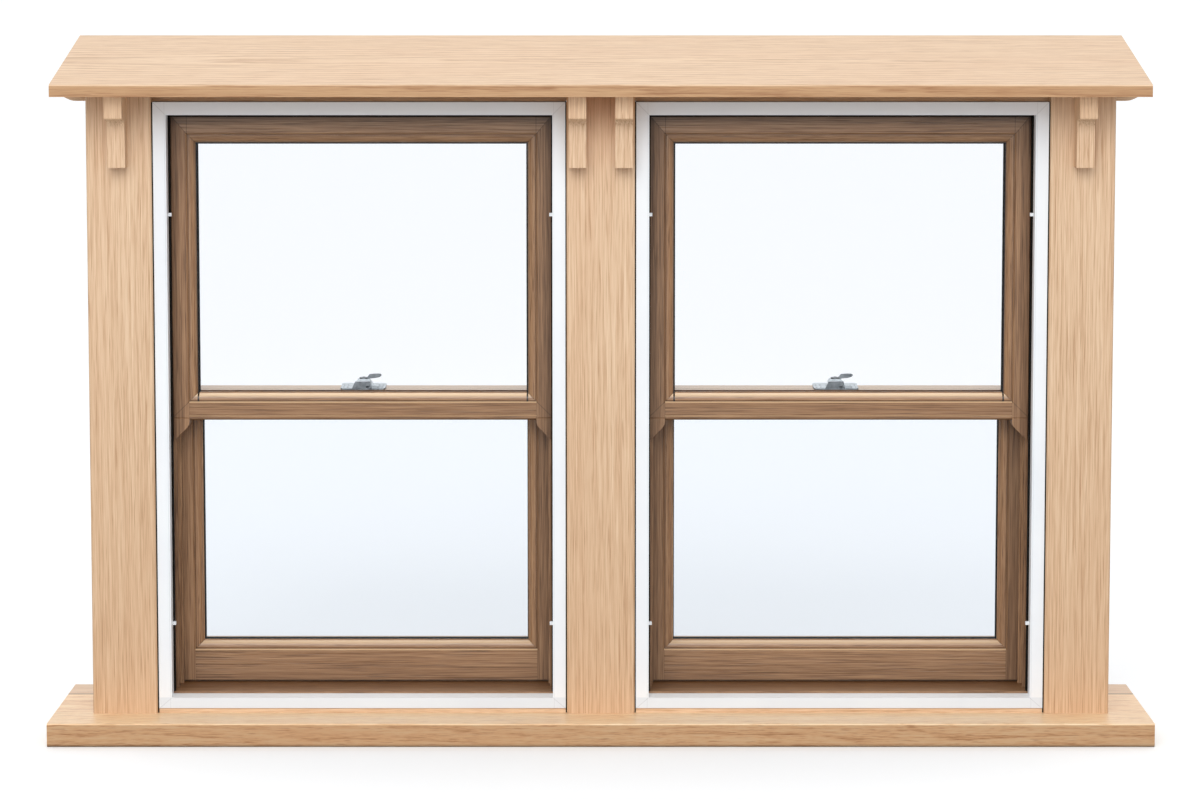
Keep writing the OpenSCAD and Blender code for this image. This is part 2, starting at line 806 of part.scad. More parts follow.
// Spacer bar between the panes; low is how far its bottom bar stands above the sight line
module spacer(ring, low) {
    back = bead_d + pane_t + cavity;
    open_x = sight_x - spacer_show;
    color(BLACK) difference() {
        sheet(ring, edge_cover - spacer_setback, bead_d + pane_t, back);
        block([-open_x, bead_d + pane_t - EPS, ring[0] + bead_w + low],
              [open_x, back + EPS, ring[1] - bead_w - spacer_show]);
    }
}

// ---- Lock, keeper and lift ----

// A plate that thickens towards the back, with clipped corners and two screw holes at each end
module lock_plate(y0, depth, rise) {
    top = meeting_z + lock_plate_t;
    difference() {
        intersection() {
            translate([-lock_w / 2, y0, meeting_z]) linear_extrude(lock_plate_t + rise + EPS)
                bevelled(lock_w, depth, [plate_clip, plate_clip, plate_clip, plate_clip]);
            along_x(lock_w)
                polygon([[y0, meeting_z], [y0 + depth, meeting_z], [y0 + depth, top + rise], [y0, top]]);
        }
        for (inset = screw_inset, end = [-1, 1])
            translate([end * (lock_w / 2 - inset), y0 + depth / 2, meeting_z - EPS])
                cylinder(h = lock_plate_t + rise + 2 * EPS, r = screw_r);
    }
}

// Housing with four sloping sides
module housing() {
    base_x = 17;
    top_x = 9;
    base_y = lock_d / 2 - housing_inset;
    top_y = 7;
    z0 = meeting_z + EPS;
    z1 = meeting_z + lock_plate_t;
    intersection() {
        along_y(-FAR, FAR)
            polygon([[-base_x, z0], [base_x, z0], [base_x, z1],
                     [top_x, housing_z], [-top_x, housing_z], [-base_x, z1]]);
        translate([0, pivot_y, 0]) along_x(FAR)
            polygon([[-base_y, z0], [base_y, z0], [base_y, z1],
                     [top_y, housing_z], [-top_y, housing_z], [-base_y, z1]]);
    }
}

module lock_base() {
    color(STEEL) translate([lock_x, 0, 0]) difference() {
        union() {
            lock_plate(lock_y, lock_d, lock_rise);
            housing();
        }
        block([-lock_w, lock_y - EPS, cam_z - cam_gap],
              [lock_wall_x, lock_y + lock_d + EPS, cam_z + cam_t + cam_gap]);
        translate([0, pivot_y, meeting_z - EPS])
            cylinder(h = housing_z - meeting_z + 2 * EPS, r = spindle_r + spindle_clear);
    }
}

// Lever, spindle and cam are one casting that turns about the spindle
module lock_lever() {
    hub_r = 7;
    hub_t = 2.4;
    foot_gap = 0.3;
    color(STEEL) translate([lock_x, pivot_y, 0]) {
        translate([0, 0, meeting_z + foot_gap]) cylinder(h = lever_z - meeting_z, r = spindle_r);
        translate([0, 0, lever_z]) cylinder(h = hub_t, r = hub_r);
        translate([0, 0, cam_z]) linear_extrude(cam_t) {
            circle(cam_r);
            translate([-cam_r, 0]) square([2 * cam_r, cam_reach - cam_r]);
            translate([0, cam_reach - cam_r]) circle(cam_r);
        }
        translate([0, 0, lever_z]) thumb_piece();
    }
}

// Stout arm that rises to a rounded, upright thumb tab
module thumb_piece() {
    arm_half = 4.5;
    tab_half = 3;
    along_y(-arm_half, arm_half)
        polygon([[-4, 0.2], [9, 0.2], [13, 1.6], [11, 5], [7.5, 4.6], [5, 2.6], [-4, 2.2]]);
    along_y(-tab_half, tab_half)
        polygon([[7, 2.5], [11, 0.6], [19, 1.2], [25, 2.8], [27.4, 4.6], [27.8, 6.2], [26.6, 7.6],
                 [23, 8.2], [16, 8], [9, 7.2], [7.4, 5.6]]);
}

// Keeper: a plate and a hood that the cam swings under, open at the back and the left
module keeper() {
    inside_z = cam_z + cam_t + hood_gap;
    hood_z = inside_z + hood_t;
    front_t = 2.5;
    wall_x = 10;
    notch_w = 5;
    notch_h = 4;
    foot_z = meeting_z + lock_plate_t;
    color(STEEL) translate([lock_x, 0, 0]) difference() {
        union() {
            lock_plate(keeper_y, keeper_d, keeper_rise);
            along_y(keeper_y, keeper_back)
                polygon([[-17, meeting_z + EPS], [14, meeting_z + EPS], [14, foot_z], [11.5, hood_z],
                         [-12, hood_z], [-17, foot_z]]);
        }
        block([-lock_w, keeper_y + front_t, foot_z + keeper_rise], [wall_x, keeper_back + EPS, inside_z]);
        block([wall_x - notch_w, keeper_y - EPS, foot_z], [wall_x, keeper_back + EPS, foot_z + notch_h]);
    }
}

// Hook lift on the room side of the lower sash
module lift() {
    lift_w = 50;
    back_t = 2;
    reach = 19;
    color(STEEL) translate([0, lower_y + sash_t, lower_z0 + bottom_flat / 2]) along_x(lift_w)
        polygon([[0, -10], [reach - 3, -10], [reach, -7], [reach, 0], [reach - back_t, 0],
                 [reach - back_t, -6], [reach - back_t - 2, -8], [back_t, -8], [back_t, 16], [0, 16]]);
}

// ---- Drawing ----

base_board();
inner_board();
left_post();
centre_post();
right_post();
head_beam();
cap_board();
brackets();
bedding_strips();
trim_frames();
trim_clips();
weather_strips();
frame_heads();
frame_sills();
frame_beads();
balance_tubes();

for (i = [0, 1]) translate([window_x[i], 0, 0]) {
    w = window_names[i];
    mirror([1, 0, 0]) right_jamb();
    right_jamb();
    translate([0, upper_y, 0]) {
        upper_stile();
        mirror([1, 0, 0]) upper_stile();
        upper_top_rail();
        upper_meeting_rail();
        beads(upper_ring);
        glass_unit(upper_ring);
        spacer(upper_ring, -spacer_drop);
    }
    upper_rods();
    keeper();
    translate([0, lower_y, 0]) {
        lower_stile();
        mirror([1, 0, 0]) lower_stile();
        lower_meeting_rail();
        lower_bottom_rail();
        beads(lower_ring);
        glass_unit(lower_ring);
        spacer(lower_ring, spacer_low_show);
    }
    lower_rods();
    lift();
    lock_base();
    lock_lever();
}
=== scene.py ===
"""Looks of the twin sash window: timber, stain, paint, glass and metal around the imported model."""

import math
from typing import NamedTuple

import bpy
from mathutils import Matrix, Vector


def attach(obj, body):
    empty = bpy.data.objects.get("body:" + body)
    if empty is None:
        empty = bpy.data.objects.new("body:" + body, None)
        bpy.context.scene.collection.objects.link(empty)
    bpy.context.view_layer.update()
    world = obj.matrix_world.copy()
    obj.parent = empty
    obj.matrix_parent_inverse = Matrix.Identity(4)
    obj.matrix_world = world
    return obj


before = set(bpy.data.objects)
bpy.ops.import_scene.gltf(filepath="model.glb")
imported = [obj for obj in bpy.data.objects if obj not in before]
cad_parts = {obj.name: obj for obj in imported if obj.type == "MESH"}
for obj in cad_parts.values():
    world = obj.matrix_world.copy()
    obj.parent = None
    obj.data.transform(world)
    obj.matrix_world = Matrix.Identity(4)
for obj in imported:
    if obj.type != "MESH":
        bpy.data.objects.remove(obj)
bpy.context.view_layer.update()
WINDOWS = ("left", "right")
X, Y, Z = 0, 1, 2

# Places on the CAD pieces, in metres
BAY_X = 0.371           # middle of each bay, sideways from the middle of the whole window
# sideways from the middle of a bay
TRIM_OUTER = 0.3165     # outer edge of the white trim
TRIM_INNER = 0.2965     # its inner edge
TRIM_LIP = 0.2987       # edge of the step round its inner edge
SASH_EDGE = 0.295       # outer edge of a stile in view
FLAT_EDGE = 0.2707      # inner edge of a stile's flat
SIGHT_EDGE = 0.2566     # edge of the glass in view
# heights
SIGHT_Z = {"upper": (0.7252, 0.1942), "lower": (0.3105, 0.1794)}    # glass: middle, half height
TRIM_TOP_Z, TRIM_TOP_IN_Z = 0.985, 0.965            # upper and lower edge of the trim's head
TRIM_FOOT_Z, TRIM_FOOT_IN_Z = 0.0425, 0.0596        # lower and upper edge of its foot
TOP_RAIL_Z, TOP_RAIL_IN_Z = 0.9625, 0.9335          # upper and lower edge of the top rail's flat
MEETING_JOINT_Z, MEETING_IN_Z = 0.4932, 0.5169      # ends of the joint beside the meeting rail
MEETING_UNDER_Z = 0.4885                            # underside of that rail
LOWER_SASH_Z = 0.0645                               # underside of the lower sash
NOSE_Z, CAP_Z = 0.945, 0.985                        # from a bracket's cove to the cap
# front to back
BOARD_JOINT_Y = 0.1                                 # joint between the two base boards
FRAME_FACE_Y = -0.036                               # front of the brown frame head


# ---- Camera, floor and light ----

CAMERA_PLACE = (-0.0012, -6.309, 1.194)
CAMERA_PITCH = math.radians(83.893)
CAMERA_LENS = 121.98
CAMERA_SENSOR = 36.0
FAR_CLIP = 2000.0
FLOOR_SIZE = 800.0
FLOOR_DROP = 0.0005                     # keeps the floor clear of the base's underside
FLOOR_SEEN = (0.96, 0.975, 0.985)       # the floor's colour to the camera
FLOOR_BOUNCE = (0.44, 0.44, 0.44)       # and to the light that it throws back
FLOOR_GLOW = 0.13                       # whitens the floor in view


def add_camera():
    """Camera in front of the window, a little above its cap, looking slightly down."""
    data = bpy.data.cameras.new("camera")
    data.lens = CAMERA_LENS
    data.sensor_width = CAMERA_SENSOR
    data.clip_end = FAR_CLIP
    camera = bpy.data.objects.new("camera", data)
    camera.location = CAMERA_PLACE
    camera.rotation_euler = (CAMERA_PITCH, 0, 0)
    bpy.context.scene.collection.objects.link(camera)
    bpy.context.scene.camera = camera


def add_sun(name, strength, elevation, azimuth, spread):
    """Broad distant light; azimuth 0 comes from the camera's side, positive from the right."""
    data = bpy.data.lights.new(name, "SUN")
    data.energy = strength
    data.angle = math.radians(spread)
    sun = bpy.data.objects.new(name, data)
    sun.rotation_euler = (math.radians(90 - elevation), 0, math.radians(azimuth))
    bpy.context.scene.collection.objects.link(sun)


def add_panel(name, power, size, place, target):
    """Square soft box that points at target."""
    data = bpy.data.lights.new(name, "AREA")
    data.energy = power
    data.size = size
    panel = bpy.data.objects.new(name, data)
    panel.location = place
    panel.rotation_euler = (Vector(place) - Vector(target)).to_track_quat("Z", "Y").to_euler()
    bpy.context.scene.collection.objects.link(panel)


def add_sky():
    """White studio, brightest behind the window."""
    world = bpy.data.worlds.new("studio")
    world.use_nodes = True
    tree = world.node_tree
    direction = tree.nodes.new("ShaderNodeTexCoord")
    parts = tree.nodes.new("ShaderNodeSeparateXYZ")
    tree.links.new(direction.outputs["Generated"], parts.inputs[0])
    strength = tree.nodes.new("ShaderNodeMapRange")
    strength.interpolation_type = "SMOOTHSTEP"
    for socket, value in (("From Min", -0.2), ("From Max", 0.7), ("To Min", 0.6), ("To Max", 1.0)):
        strength.inputs[socket].default_value = value
    tree.links.new(parts.outputs[1], strength.inputs["Value"])
    background = tree.nodes["Background"]
    background.inputs["Color"].default_value = (0.985, 0.99, 1.0, 1.0)
    tree.links.new(strength.outputs[0], background.inputs["Strength"])
    bpy.context.scene.world = world


def add_surroundings():
    """White floor and sky, a soft box and a broad low light in front, a broad light from behind."""
    scene = bpy.context.scene
    scene.view_settings.view_transform = "Standard"
    add_sky()
    add_panel("key", power=82, size=3.0, place=(-0.5, -4.5, 3.4), target=(0, -0.1, 0.6))
    add_sun("front", strength=1.12, elevation=13, azimuth=-2, spread=50)
    add_sun("back", strength=0.4, elevation=60, azimuth=176, spread=70)
    mesh = bpy.data.meshes.new("floor")
    half = FLOOR_SIZE / 2
    mesh.from_pydata([(-half, -half, 0), (half, -half, 0), (half, half, 0), (-half, half, 0)], [],
                     [(0, 1, 2, 3)])
    floor = bpy.data.objects.new("floor", mesh)
    floor.location.z = -FLOOR_DROP
    scene.collection.objects.link(floor)
    paint = Shader("floor_white")
    seen = paint.node("LightPath").outputs["Is Camera Ray"]
    made = paint.surface(base=paint.mix(seen, FLOOR_BOUNCE, FLOOR_SEEN), roughness=1.0,
                         Specular_IOR_Level=0.0)
    made.inputs["Emission Color"].default_value = (1.0, 1.0, 1.0, 1.0)
    paint.feed(made.inputs["Emission Strength"], paint.math("MULTIPLY", seen, FLOOR_GLOW))
    mesh.materials.append(paint.material)


# ---- Shader building ----

def srgb(r, g, b):
    """Linear colour from 0-255 screen values."""
    def linear(c):
        c /= 255
        return c / 12.92 if c <= 0.04045 else ((c + 0.055) / 1.055) ** 2.4
    return (linear(r), linear(g), linear(b))


class Shader:
    """A material whose nodes are added by short calls; each call returns an output socket."""

    def __init__(self, name):
        self.material = bpy.data.materials.new(name)
        self.material.use_nodes = True
        self.tree = self.material.node_tree
        self.tree.nodes.clear()
        self.output = self.tree.nodes.new("ShaderNodeOutputMaterial")

    def node(self, kind, **settings):
        made = self.tree.nodes.new("ShaderNode" + kind)
        for key, value in settings.items():
            setattr(made, key, value)
        return made

    def feed(self, socket, value):
        """Links value to socket if it is a socket, else sets it as a constant."""
        if isinstance(value, bpy.types.NodeSocket):
            self.tree.links.new(value, socket)
        elif isinstance(value, tuple) and socket.type == "RGBA":
            socket.default_value = (*value, 1.0)
        else:
            socket.default_value = value

    def math(self, operation, a, b=0.0, c=0.0, clamp=False):
        made = self.node("Math", operation=operation, use_clamp=clamp)
        for socket, value in zip(made.inputs, (a, b, c)):
            self.feed(socket, value)
        return made.outputs[0]

    def split(self, vector):
        made = self.node("SeparateXYZ")
        self.feed(made.inputs[0], vector)
        return made.outputs

    def join(self, x, y, z):
        made = self.node("CombineXYZ")
        for socket, value in zip(made.inputs, (x, y, z)):
            self.feed(socket, value)
        return made.outputs[0]

    def noise(self, vector, scale, detail=2.0, roughness=0.5):
        made = self.node("TexNoise")
        self.feed(made.inputs["Vector"], vector)
        made.inputs["Scale"].default_value = scale
        made.inputs["Detail"].default_value = detail
        made.inputs["Roughness"].default_value = roughness
        return made.outputs[0]

    def ramp(self, factor, stops):
        made = self.node("ValToRGB")
        self.feed(made.inputs[0], factor)
        elements = made.color_ramp.elements
        while len(elements) < len(stops):
            elements.new(0.5)
        for element, (place, colour) in zip(elements, stops):
            element.position = place
            element.color = (*colour, 1.0)
        return made.outputs[0]

    def mix(self, factor, a, b, blend="MIX"):
        # inputs 6 and 7 and output 2 are the node's colour sockets
        made = self.node("Mix", data_type="RGBA", blend_type=blend)
        self.feed(made.inputs[0], factor)
        self.feed(made.inputs[6], a)
        self.feed(made.inputs[7], b)
        return made.outputs[2]

    def rise(self, value, low, high):
        """0 at low, 1 at high, eased between them."""
        made = self.node("MapRange", interpolation_type="SMOOTHSTEP")
        self.feed(made.inputs["Value"], value)
        made.inputs["From Min"].default_value = low
        made.inputs["From Max"].default_value = high
        return made.outputs[0]

    def place(self):
        """Position in the part's own frame, in metres."""
        return self.node("TexCoord").outputs["Object"]

    def facing(self):
        """Surface normal as its parts in the part's own frame."""
        return self.split(self.node("TexCoord").outputs["Normal"])

    def bump(self, height, strength, distance):
        made = self.node("Bump")
        made.inputs["Strength"].default_value = strength
        made.inputs["Distance"].default_value = distance
        self.feed(made.inputs["Height"], height)
        return made.outputs[0]

    def surface(self, base, roughness, normal=None, **constants):
        """The Principled shader; constants are set on its own sockets."""
        made = self.node("BsdfPrincipled")
        self.feed(made.inputs["Base Color"], base)
        self.feed(made.inputs["Roughness"], roughness)
        if normal is not None:
            self.feed(made.inputs["Normal"], normal)
        for key, value in constants.items():
            self.feed(made.inputs[key.replace("_", " ")], value)
        self.tree.links.new(made.outputs[0], self.output.inputs[0])
        return made


# ---- Timber ----

# tones of posts, cap and brackets; of the base board, lighter: painted light; of the window stain
PALE = dict(dark=srgb(176, 130, 90), mid=srgb(222, 187, 151), light=srgb(240, 211, 178),
            warm=srgb(224, 182, 145))
LIT_PALE = dict(dark=srgb(196, 148, 100), mid=srgb(249, 211, 166), light=srgb(253, 228, 190),
            warm=srgb(247, 203, 157))
BROWN = dict(dark=srgb(86, 58, 36), mid=srgb(156, 118, 85), light=srgb(190, 151, 114),
             warm=srgb(156, 111, 75))


class Grain(NamedTuple):
    """How one piece of timber was cut."""
    along: int                          # axis that the grain follows
    seed: float                         # place in the noise, so that no two pieces look alike
    heart: tuple = (0.5, 0.3)           # distance of the tree's heart across the grain
    tilt: float = 0.01                  # how fast the piece runs out of the growth rings
    ring_gap: float = 0.006             # spacing of the growth rings
    figure: float = 0.25                # contrast of the growth rings
    fine: float = 1.0                   # contrast of the fibres
    run: float = 1.0                    # how short the fibres are
    rough: float = 0.4                  # roughness of the surface


def timber(name, tones, grain, shade=(), beads_of=None):
    """Sawn timber; each shade is a call that changes the colour of the shader it is given. On the
    glazing beads of the sash beads_of, the grain is turned to run along the upright ones too."""
    s = Shader(name)
    place = s.split(s.place())
    parts = turned(s, place, beads_of) if beads_of else place
    first, second = [axis for axis in (X, Y, Z) if axis != grain.along]
    # two coordinates across the grain and one along it, moved by the seed
    a = s.math("ADD", parts[first], grain.seed * 0.37)
    b = s.math("ADD", parts[second], grain.seed * 0.53)
    g = s.math("MULTIPLY", s.math("ADD", parts[grain.along], grain.seed * 1.71), grain.run)

    def stretched(across, length, detail=2.0, roughness=0.5):
        """Noise with so many features a metre across the grain, and along its length."""
        return s.noise(s.join(s.math("MULTIPLY", a, across), s.math("MULTIPLY", b, across),
                              s.math("MULTIPLY", g, length)), 1.0, detail, roughness)

    # growth rings round the tree's heart, which wander slowly
    wander = s.math("SUBTRACT", stretched(5.0, 1.1, 2.0, 0.45), 0.5)
    local_a = s.math("MULTIPLY_ADD", wander, 0.05, s.math("ADD", parts[first], grain.heart[0]))
    local_b = s.math("MULTIPLY_ADD", parts[grain.along], grain.tilt, grain.heart[1])
    local_b = s.math("MULTIPLY_ADD", wander, 0.03, s.math("ADD", parts[second], local_b))
    radius = s.math("SQRT", s.math("MULTIPLY_ADD", local_a, local_a,
                                   s.math("MULTIPLY", local_b, local_b)))
    turns = s.math("MULTIPLY_ADD", radius, 1.0 / grain.ring_gap,
                   s.math("MULTIPLY", stretched(80.0, 6.0, 3.0, 0.6), 0.9))
    saw = s.math("FRACT", turns)
    ring = s.math("MINIMUM", s.math("POWER", saw, 2.2),
                  s.math("MULTIPLY", s.math("SUBTRACT", 1.0, saw), 6.0))

    # fibres, from broad to fine, and the open pores between them
    streak = s.math("SUBTRACT", stretched(240.0, 4.5, 3.0, 0.6), 0.5)
    line = s.math("SUBTRACT", stretched(560.0, 13.0, 2.0, 0.65), 0.5)
    fibre = s.math("SUBTRACT", stretched(1100.0, 36.0, 2.0, 0.6), 0.5)
    pores = s.math("SUBTRACT", stretched(520.0, 21.0, 1.0), 0.63)
    pores = s.math("MULTIPLY", pores, 9.0, clamp=True)

    # the middle tone stays put whatever the contrast of the rings
    tone = s.math("MULTIPLY_ADD", ring, -grain.figure, 0.5 + 0.38 * grain.figure)
    tone = s.math("MULTIPLY_ADD", streak, 0.5 * grain.fine, tone)
    tone = s.math("MULTIPLY_ADD", line, 1.3 * grain.fine, tone)
    tone = s.math("MULTIPLY_ADD", fibre, 0.9 * grain.fine, tone)
    colour = s.ramp(tone, [(0.05, tones["dark"]), (0.48, tones["mid"]), (0.9, tones["light"])])
    warmth = s.math("MULTIPLY", s.math("SUBTRACT", stretched(9.0, 1.6), 0.42), 2.4, clamp=True)
    colour = s.mix(s.math("MULTIPLY", warmth, 0.35), colour, tones["warm"])
    colour = s.mix(s.math("MULTIPLY", pores, 0.55), colour, tones["dark"])
    for change in shade:
        colour = change(s, colour, place)

    relief = s.math("MULTIPLY_ADD", fibre, 0.6, s.math("MULTIPLY", line, 0.6))
    relief = s.math("MULTIPLY_ADD", pores, -0.9, relief)
    roughness = s.math("MULTIPLY_ADD", streak, 0.25, grain.rough)
    s.surface(colour, roughness, s.bump(relief, 0.3, 0.0004), Specular_IOR_Level=0.5)
    return s.material


def from_bay_middle(s, parts):
    """Sideways distance from the middle of the nearer bay."""
    return s.math("ABSOLUTE", s.math("SUBTRACT", s.math("ABSOLUTE", parts[X]), BAY_X))


def past_glass(s, parts, sash):
    """Distances outwards from the sight line: sideways, and up or down."""
    middle, half = SIGHT_Z[sash]
    side = s.math("SUBTRACT", from_bay_middle(s, parts), SIGHT_EDGE)
    return side, s.math("SUBTRACT", s.math("ABSOLUTE", s.math("SUBTRACT", parts[Z], middle)), half)


def turned(s, parts, sash):
    """The three coordinates, with X and Z exchanged on the upright beads of a sash."""
    side, above_below = past_glass(s, parts, sash)
    swap = s.math("MULTIPLY", s.math("GREATER_THAN", side, above_below),
                  s.math("SUBTRACT", parts[Z], parts[X]))
    return [s.math("ADD", parts[X], swap), parts[Y], s.math("SUBTRACT", parts[Z], swap)]


BEAD_GROOVE = 0.0122    # from the sight line out to the groove in a bead's outer edge
MITRE_WIDTH = 0.0009
TAPE_WIDTH = 0.0013


def bead_lines(sash):
    """Painted shade in a bead ring's outer-edge groove, a line at each mitre, and the tape."""
    def darken(s, colour, parts):
        side, above_below = past_glass(s, parts, sash)
        # painted shade in the groove
        groove = s.math("GREATER_THAN", s.math("MAXIMUM", side, above_below), BEAD_GROOVE)
        colour = s.mix(groove, colour, (0.62, 0.58, 0.54), blend="MULTIPLY")
        if sash == "upper":
            colour = tape_edge(s, colour, parts, side)
        gap = s.math("ABSOLUTE", s.math("SUBTRACT", side, above_below))
        mitre = s.math("SUBTRACT", 1.0, s.math("DIVIDE", gap, MITRE_WIDTH), clamp=True)
        return s.mix(mitre, colour, (0.4, 0.4, 0.4), blend="MULTIPLY")
    return darken


def tape_edge(s, colour, parts, side):
    """Black glazing tape along the sides and the top of the upper glass."""
    middle, half = SIGHT_Z["upper"]
    top = s.math("SUBTRACT", parts[Z], middle + half)
    rim = s.math("LESS_THAN", s.math("ABSOLUTE", s.math("MAXIMUM", side, top)), TAPE_WIDTH)
    return s.mix(rim, colour, (0.05, 0.04, 0.04), blend="MULTIPLY")


def stain_and_shade(depth):
    """Warms the stain; depth below 1 darkens the whole member as painted shade."""
    tone = (depth, depth * 0.97, depth * 0.93)
    return lambda s, colour, parts: s.mix(1.0, colour, tone, blend="MULTIPLY")


def edge_faces(tone):
    """Darkens the faces that look to the front or the back: sawn edges of a laid board."""
    def darken(s, colour, parts):
        front = s.math("GREATER_THAN", s.math("ABSOLUTE", s.facing()[Y]), 0.8)
        return s.mix(front, colour, tone, blend="MULTIPLY")
    return darken


def painted_shade(distance, width, depth, warmth=0.04):
    """Painted shade: darkens towards where distance(s, parts) is 0, down to depth."""
    tone = (depth, depth * (1 - warmth), depth * (1 - 2 * warmth))

    def darken(s, colour, parts):
        near = s.math("SUBTRACT", 1.0, s.rise(distance(s, parts), 0.0, width))
        return s.mix(near, colour, tone, blend="MULTIPLY")
    return darken


def painted_top_light(colour_up):
    """Painted light: lightens the faces that look up towards colour_up."""
    def lighten(s, colour, parts):
        return s.mix(s.rise(s.facing()[Z], 0.15, 0.85), colour, colour_up)
    return lighten


def joint(distance, width=0.0007, depth=0.35):
    """A thin dark line where distance(s, parts) is 0."""
    def darken(s, colour, parts):
        gap = s.math("ABSOLUTE", distance(s, parts))
        line = s.math("SUBTRACT", 1.0, s.math("DIVIDE", gap, width), clamp=True)
        return s.mix(line, colour, (depth, depth, depth), blend="MULTIPLY")
    return darken


def from_side(edge_x):
    """Distance inwards from an edge edge_x from the bay's middle."""
    return lambda s, parts: s.math("SUBTRACT", edge_x, from_bay_middle(s, parts))


def below(z):
    return lambda s, parts: s.math("SUBTRACT", z, parts[Z])


def above(z):
    return lambda s, parts: s.math("SUBTRACT", parts[Z], z)


def behind(y):
    return lambda s, parts: s.math("SUBTRACT", parts[Y], y)


def slanted(x0, z0, x1, z1):
    """Distance from the line through (x0, z0) and (x1, z1), x from the bay's middle."""
    length = math.hypot(x1 - x0, z1 - z0)
    nx, nz = (z1 - z0) / length, -(x1 - x0) / length
    return lambda s, parts: s.math("MULTIPLY_ADD", from_bay_middle(s, parts), nx,
                                   s.math("MULTIPLY_ADD", parts[Z], nz, -(x0 * nx + z0 * nz)))


# ---- Other finishes ----

def white_paint(name, shade=()):
    """Sprayed white paint with a faint orange peel."""
    s = Shader(name)
    p = s.place()
    parts = s.split(p)
    cloud = s.noise(p, 7.0, 3.0)
    orange_peel = s.noise(p, 900.0, 2.0)
    colour = s.ramp(cloud, [(0.3, srgb(240, 244, 249)), (0.7, srgb(246, 250, 253))])
    for change in shade:
        colour = change(s, colour, parts)
    roughness = s.math("MULTIPLY_ADD", cloud, 0.12, 0.3)
    s.surface(colour, roughness, s.bump(orange_peel, 0.08, 0.0003), Specular_IOR_Level=0.4)
    return s.material


def black_rubber(name):
    """Dull black rubber with a little dust."""
    s = Shader(name)
    p = s.place()
    grain = s.noise(p, 1400.0, 2.0)
    dust = s.noise(p, 35.0, 4.0)
    colour = s.ramp(dust, [(0.35, (0.003, 0.003, 0.003)), (0.8, (0.009, 0.008, 0.007))])
    s.surface(colour, s.math("MULTIPLY_ADD", dust, 0.3, 0.55), s.bump(grain, 0.2, 0.0002),
              Specular_IOR_Level=0.1)
    return s.material


def metal(name, light, dark, rough, low=1.0):
    """Plated casting: cloudy colour, fine pitting and polish that varies. Faces that don't look
    up are darkened down to low: painted shade and reflection of a studio dark at the sides."""
    s = Shader(name)
    p = s.place()
    cloud = s.noise(p, 160.0, 4.0, 0.6)
    pits = s.noise(p, 2600.0, 3.0, 0.7)
    colour = s.ramp(cloud, [(0.3, dark), (0.65, light)])
    up = s.rise(s.facing()[Z], -0.1, 0.8)
    colour = s.mix(up, s.mix(1.0, colour, (low, low, low), blend="MULTIPLY"), colour)
    roughness = s.math("MULTIPLY_ADD", cloud, 0.25, rough)
    s.surface(colour, roughness, s.bump(pits, 0.15, 0.0001), Metallic=1.0)
    return s.material


def clear_glass(name, low, high):
    """Thin window glass with a mirror coat on its outer faces; each face tints what passes, by low
    at the height low[0] and by high at high[0]."""
    s = Shader(name)
    clear = s.node("BsdfTransparent")
    height = s.rise(s.split(s.place())[Z], low[0], high[0])
    s.feed(clear.inputs["Color"], s.mix(height, low[1], high[1]))
    gloss = s.node("BsdfGlossy")
    gloss.inputs["Roughness"].default_value = 0.02
    gloss.inputs["Color"].default_value = (0.9, 0.95, 1.0, 1.0)
    mirror = s.node("Fresnel")
    mirror.inputs["IOR"].default_value = 1.45
    front = s.math("SUBTRACT", 1.0, s.node("NewGeometry").outputs["Backfacing"])
    mixed = s.node("MixShader")
    s.feed(mixed.inputs[0], s.math("MULTIPLY", mirror.outputs[0], front))
    s.feed(mixed.inputs[1], clear.outputs[0])
    s.feed(mixed.inputs[2], gloss.outputs[0])
    s.feed(s.output.inputs[0], mixed.outputs[0])
    return s.material


# ---- Finishes on the CAD pieces ----

def finish(node, material):
    """Gives a CAD node its material in every slot."""
    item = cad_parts[node]
    if not item.data.materials:
        item.data.materials.append(material)
    for index in range(len(item.data.materials)):
        item.data.materials[index] = material


def painted_nose_light(s, colour, parts):
    """Painted light: lightens a bracket towards the cap, lifting it out of the cap's shadow."""
    return s.mix(s.rise(parts[Z], NOSE_Z, CAP_Z), colour, (1.2, 1.2, 1.18), blend="MULTIPLY")


def painted_sill_shade(s, colour, parts):
    """Painted shade: darkens the frame sill towards the lower sash."""
    return s.mix(s.rise(parts[Y], -0.05, 0.02), colour, (0.58, 0.46, 0.3), blend="MULTIPLY")


